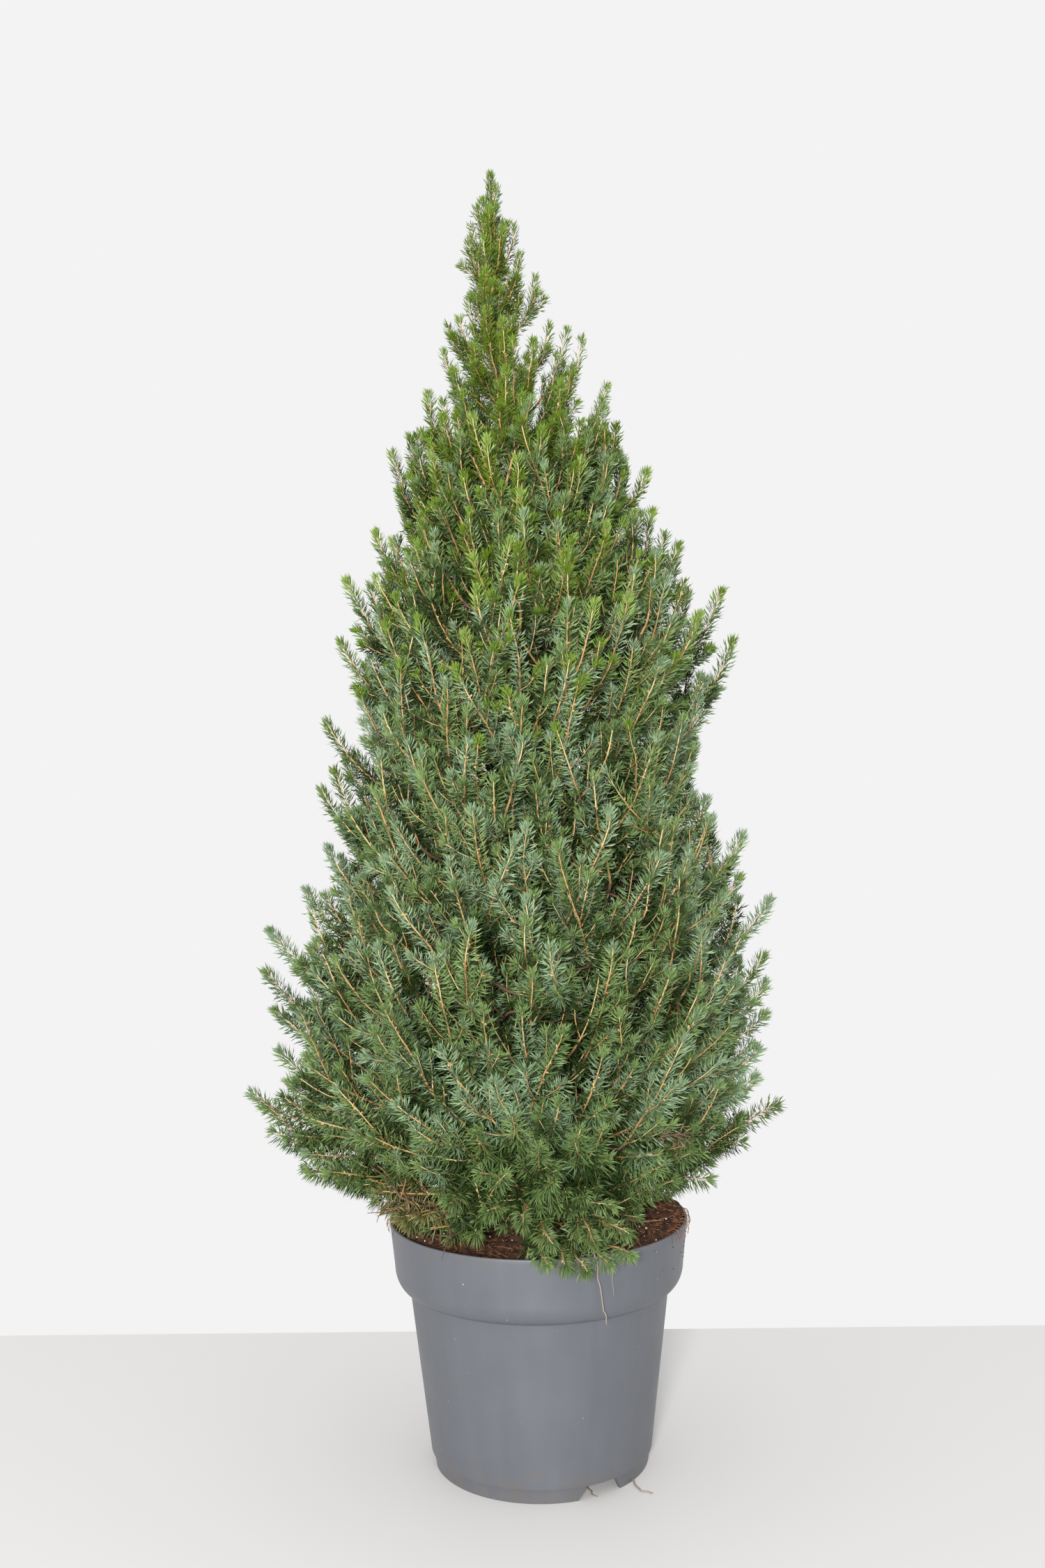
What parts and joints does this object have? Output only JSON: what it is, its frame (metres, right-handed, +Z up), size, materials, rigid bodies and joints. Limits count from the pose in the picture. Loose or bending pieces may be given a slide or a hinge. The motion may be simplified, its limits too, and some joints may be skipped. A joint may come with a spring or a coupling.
{
  "type": "potted alberta spruce",
  "caption": "Dwarf conifer in a round nursery pot: a dense cone of upswept needle shoots on short boughs round one straight stem, standing free on the pot's foot ring.",
  "frame": {"origin": "on the pot's axis, in the plane of the foot ring's underside that the pot stands on", "axes": "+Z up along the pot's axis and the stem, -Y towards the front of the plant, +X to its right-hand side"},
  "size_m": [0.639, 0.606, 1.523],
  "materials": {
    "pot": "satin",
    "soil": "matte",
    "bark": "matte",
    "foliage_low": "matte",
    "foliage_middle": "matte",
    "foliage_top": "matte"
  },
  "bodies": {
    "root": {"bough_lower_back_1": "bark", "bough_lower_back_2": "bark", "bough_lower_back_3": "bark", "bough_lower_front_1": "bark", "bough_lower_front_2": "bark", "bough_lower_left": "bark", "bough_lower_right": "bark", "bough_middle_back_1": "bark", "bough_middle_back_2": "bark", "bough_middle_front_1": "bark", "bough_middle_front_2": "bark", "bough_middle_front_3": "bark", "bough_middle_left": "bark", "bough_middle_right": "bark", "bough_skirt_back_1": "bark", "bough_skirt_back_2": "bark", "bough_skirt_front_1": "bark", "bough_skirt_front_2": "bark", "bough_skirt_front_3": "bark", "bough_skirt_left": "bark", "bough_skirt_right": "bark", "foliage_high_back_1": "foliage_top", "foliage_high_front_1": "foliage_top", "foliage_high_left": "foliage_top", "foliage_high_right": "foliage_top", "foliage_leader": "foliage_top", "foliage_lower_back_1": "foliage_low", "foliage_lower_back_2": "foliage_low", "foliage_lower_back_3": "foliage_low", "foliage_lower_front_1": "foliage_low", "foliage_lower_front_2": "foliage_low", "foliage_lower_left": "foliage_low", "foliage_lower_right": "foliage_low", "foliage_middle_back_1": "foliage_middle", "foliage_middle_back_2": "foliage_middle", "foliage_middle_front_1": "foliage_middle", "foliage_middle_front_2": "foliage_middle", "foliage_middle_front_3": "foliage_middle", "foliage_middle_left": "foliage_middle", "foliage_middle_right": "foliage_middle", "foliage_peak_left": "foliage_top", "foliage_peak_right": "foliage_top", "foliage_skirt_back_1": "foliage_low", "foliage_skirt_back_2": "foliage_low", "foliage_skirt_front_1": "foliage_low", "foliage_skirt_front_2": "foliage_low", "foliage_skirt_front_3": "foliage_low", "foliage_skirt_left": "foliage_low", "foliage_skirt_right": "foliage_low", "foliage_upper_back_1": "foliage_middle", "foliage_upper_front_1": "foliage_middle", "foliage_upper_front_2": "foliage_middle", "foliage_upper_left": "foliage_middle", "foliage_upper_right": "foliage_middle", "pot": "pot", "soil": "soil", "trunk": "bark"}
  },
  "joints": []
}
